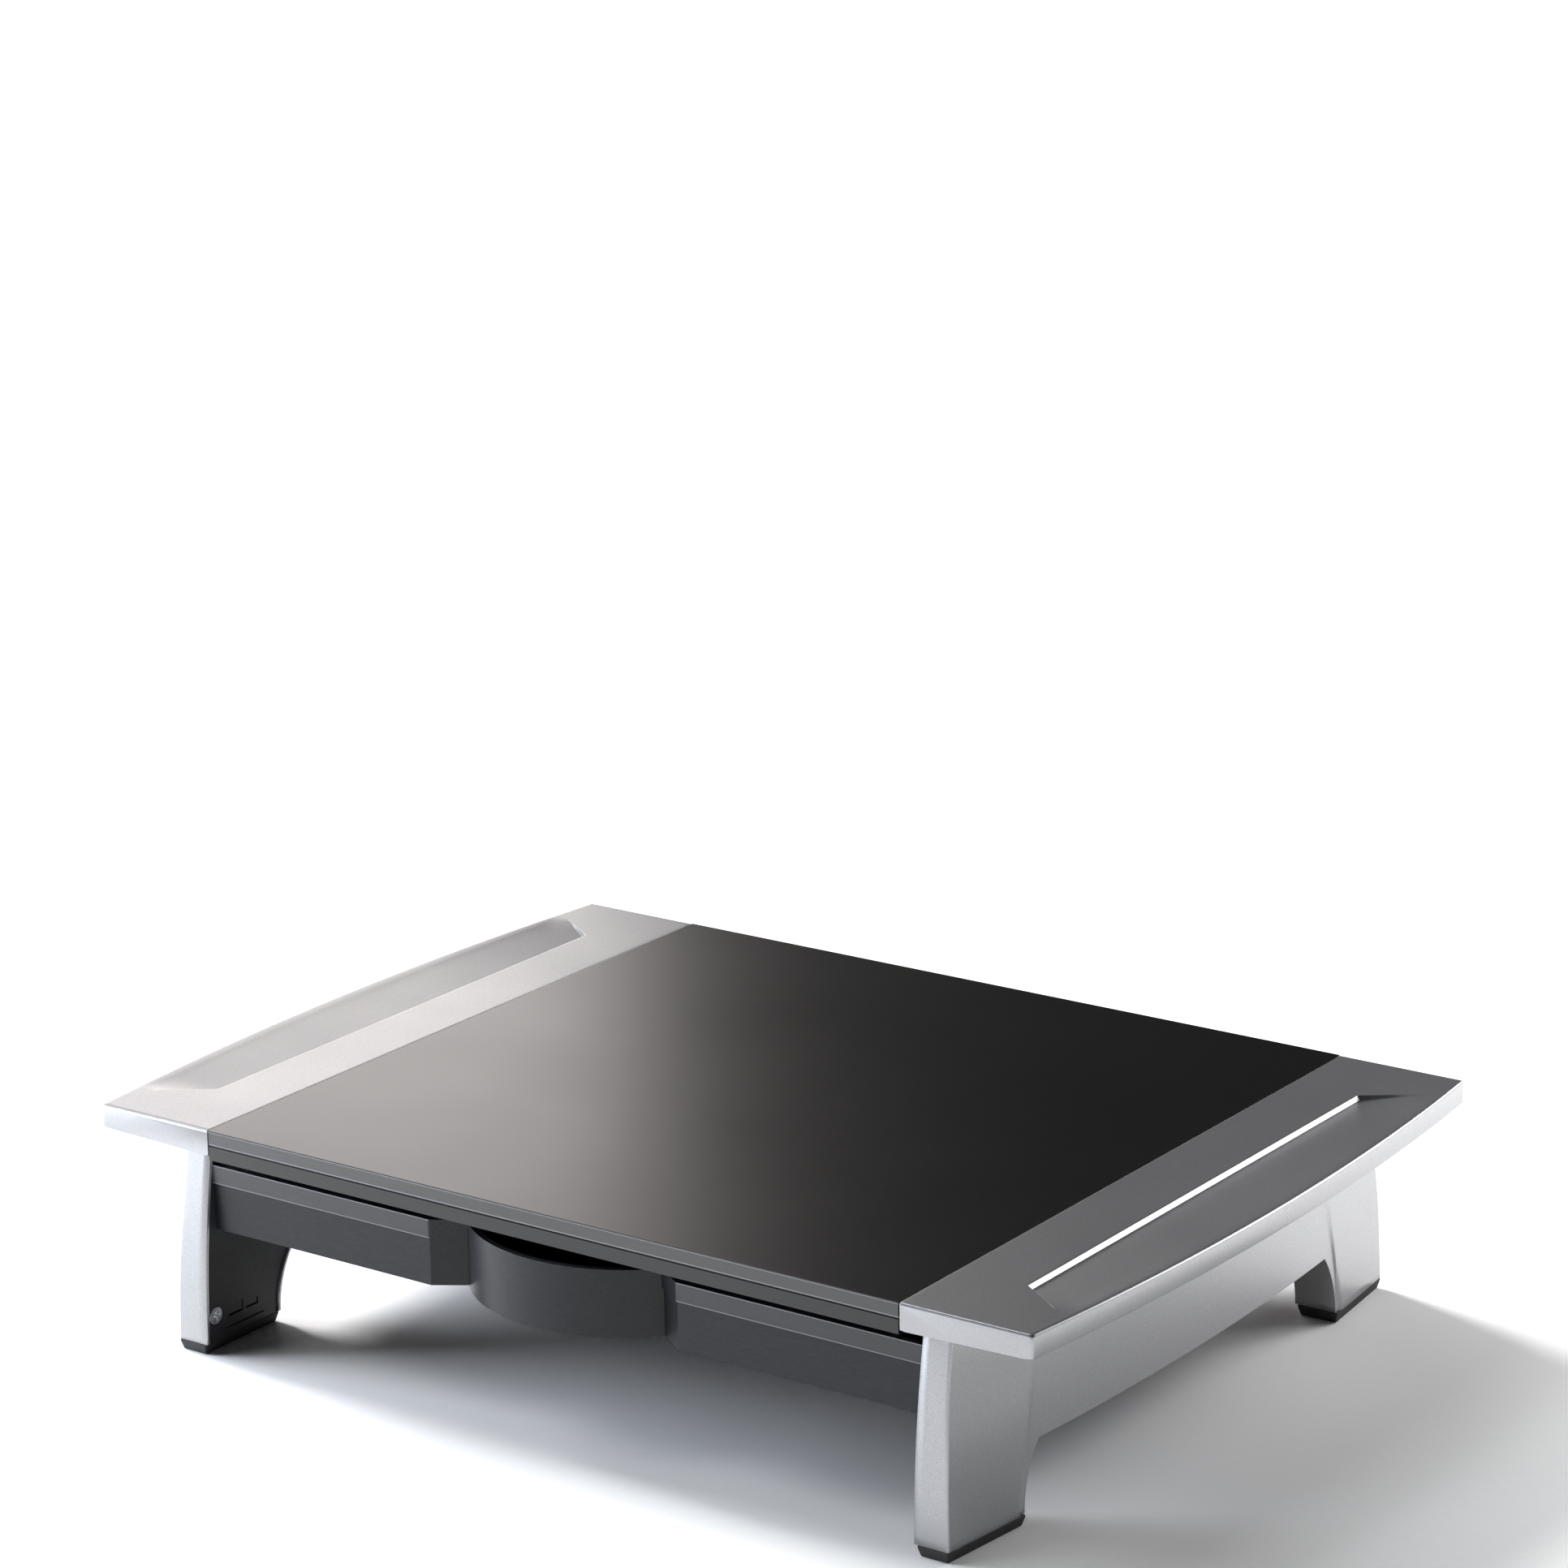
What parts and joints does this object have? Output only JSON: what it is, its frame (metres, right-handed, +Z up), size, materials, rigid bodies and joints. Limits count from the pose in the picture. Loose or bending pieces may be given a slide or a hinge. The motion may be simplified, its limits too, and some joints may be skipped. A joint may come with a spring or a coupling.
{
  "type": "monitor riser stand",
  "caption": "Desktop monitor riser: black deck between silver bowed wings on arched sides, with a slide-out storage tray and legs that draw down to raise it.",
  "frame": {"origin": "on the table, under the middle of the stand's outline with the tray closed and the legs drawn in", "axes": "+X across the stand to its right, +Y from its front to its back, +Z up"},
  "size_m": [0.505, 0.3562, 0.1064],
  "materials": {
    "deck_black": "satin, fine moulded texture",
    "silver": "satin metallic silver paint",
    "cover_black": "matt moulded",
    "runner_grey": "smooth moulded",
    "tray_black": "satin moulded",
    "rubber": "matt rubber",
    "zinc": "bright zinc plate"
  },
  "bodies": {
    "riser": {"deck": "deck_black", "wing_cap_left": "silver", "wing_cap_right": "silver", "side_shell_left": "silver", "side_shell_right": "silver", "side_cover_left": "cover_black", "side_cover_right": "cover_black", "tray_runner_left": "runner_grey", "tray_runner_right": "runner_grey", "side_clamp_screws": "zinc", "cover_screws": "zinc", "runner_screws": "zinc"},
    "tray": {"tray": "tray_black"},
    "leg_front_left": {"leg_column_front_left": "cover_black", "foot_pad_front_left": "rubber"},
    "leg_front_right": {"leg_column_front_right": "cover_black", "foot_pad_front_right": "rubber"},
    "leg_rear_left": {"leg_column_rear_left": "cover_black", "foot_pad_rear_left": "rubber"},
    "leg_rear_right": {"leg_column_rear_right": "cover_black", "foot_pad_rear_right": "rubber"}
  },
  "joints": [
    {"name": "tray_slide", "type": "slide", "parent": "riser", "child": "tray", "axis": [0, -1, 0], "range_m": [0, 0.2]},
    {"name": "leg_front_left_extend", "type": "slide", "parent": "riser", "child": "leg_front_left", "axis": [0, 0, -1], "range_m": [0, 0.0587]},
    {"name": "leg_front_right_extend", "type": "slide", "parent": "riser", "child": "leg_front_right", "axis": [0, 0, -1], "range_m": [0, 0.0587]},
    {"name": "leg_rear_left_extend", "type": "slide", "parent": "riser", "child": "leg_rear_left", "axis": [0, 0, -1], "range_m": [0, 0.0587]},
    {"name": "leg_rear_right_extend", "type": "slide", "parent": "riser", "child": "leg_rear_right", "axis": [0, 0, -1], "range_m": [0, 0.0587]}
  ]
}
